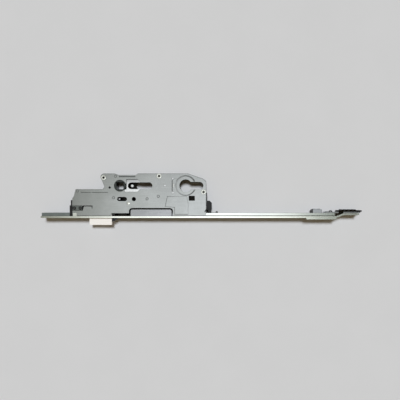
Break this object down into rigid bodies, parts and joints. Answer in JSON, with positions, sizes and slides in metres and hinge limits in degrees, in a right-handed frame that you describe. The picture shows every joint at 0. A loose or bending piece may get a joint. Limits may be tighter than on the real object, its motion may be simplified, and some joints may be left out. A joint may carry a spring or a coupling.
{
  "type": "multipoint door lock",
  "caption": "Centre case of a multipoint door lock with long faceplate, bevelled latch, deadbolt, spindle hub, profile-cylinder opening and a drive rod ending in a toothed coupler.",
  "frame": {"origin": "on the axis of the profile cylinder opening, half way through the case", "axes": "+X along the faceplate towards the toothed coupler, +Y from the faceplate into the case, +Z out of the cover; the lock lies on its side"},
  "size_m": [0.4489, 0.0723, 0.02],
  "materials": {
    "galvanised_strip": "bright galvanised",
    "zinc_sheet": "satin zinc-plated sheet",
    "bright_zinc": "bright zinc plate",
    "plain_steel": "plain steel",
    "die_cast_zinc": "die-cast zinc alloy, matt",
    "nickel": "satin nickel plate",
    "dark_hub": "sintered steel, dark",
    "grey_steel": "phosphated steel, dark grey",
    "black_steel": "blackened steel",
    "black_plastic": "moulded, matt",
    "pale_plastic": "moulded, matt"
  },
  "bodies": {
    "case": {"faceplate": "galvanised_strip", "end_doubler": "galvanised_strip", "doubler_rivets": "plain_steel", "case_plate": "zinc_sheet", "case_rim": "zinc_sheet", "case_cover": "zinc_sheet", "case_screws": "bright_zinc", "case_posts": "bright_zinc", "left_guide": "black_plastic", "backing_bar": "grey_steel", "corner_block": "pale_plastic", "rod_clip": "black_plastic", "front_lugs": "black_steel", "front_screws": "bright_zinc", "latch_guide": "black_plastic", "latch_spring": "plain_steel", "thrust_springs": "plain_steel", "spring_stop": "plain_steel", "slot_pin": "bright_zinc", "guide_pin": "plain_steel"},
    "hub": {"follower": "dark_hub"},
    "latch": {"latch_head": "nickel", "latch_tail": "plain_steel", "latch_rivet": "plain_steel"},
    "thrust": {"thrust_plate": "bright_zinc"},
    "slide": {"drive_slide": "plain_steel", "drive_rod": "galvanised_strip", "rod_foot": "bright_zinc", "rod_stud": "black_steel", "coupling_block": "die_cast_zinc", "block_rivets": "plain_steel", "coupler_carrier": "plain_steel", "coupler": "black_steel", "rod_hook": "plain_steel"},
    "deadbolt": {"bolt": "nickel", "bolt_pin": "plain_steel"}
  },
  "joints": [
    {"name": "hub_turn", "type": "hinge", "parent": "case", "child": "hub", "pos_m": [-0.092, 0, 0], "axis": [0, 0, -1], "range_deg": [0, 38], "stiffness_Nm_per_rad": 1.5, "springref_deg": -17.19},
    {"name": "latch_slide", "type": "slide", "parent": "case", "child": "latch", "axis": [0, 1, 0], "range_m": [0, 0.00977], "deforming": ["latch_spring"]},
    {"name": "thrust_slide", "type": "slide", "parent": "case", "child": "thrust", "axis": [1, 0, 0], "range_m": [0, 0.003], "deforming": ["thrust_springs"]},
    {"name": "drive", "type": "slide", "parent": "case", "child": "slide", "axis": [-1, 0, 0], "range_m": [0, 0.02]},
    {"name": "bolt_throw", "type": "slide", "parent": "case", "child": "deadbolt", "axis": [0, -1, 0], "range_m": [0, 0.02]}
  ],
  "couplings": [
    {"joint": "hub_turn", "follows": "latch_slide", "rad_per_m": 67.904},
    {"joint": "thrust_slide", "follows": "latch_slide", "ratio": 0.30557},
    {"joint": "bolt_throw", "follows": "drive", "ratio": 1}
  ]
}
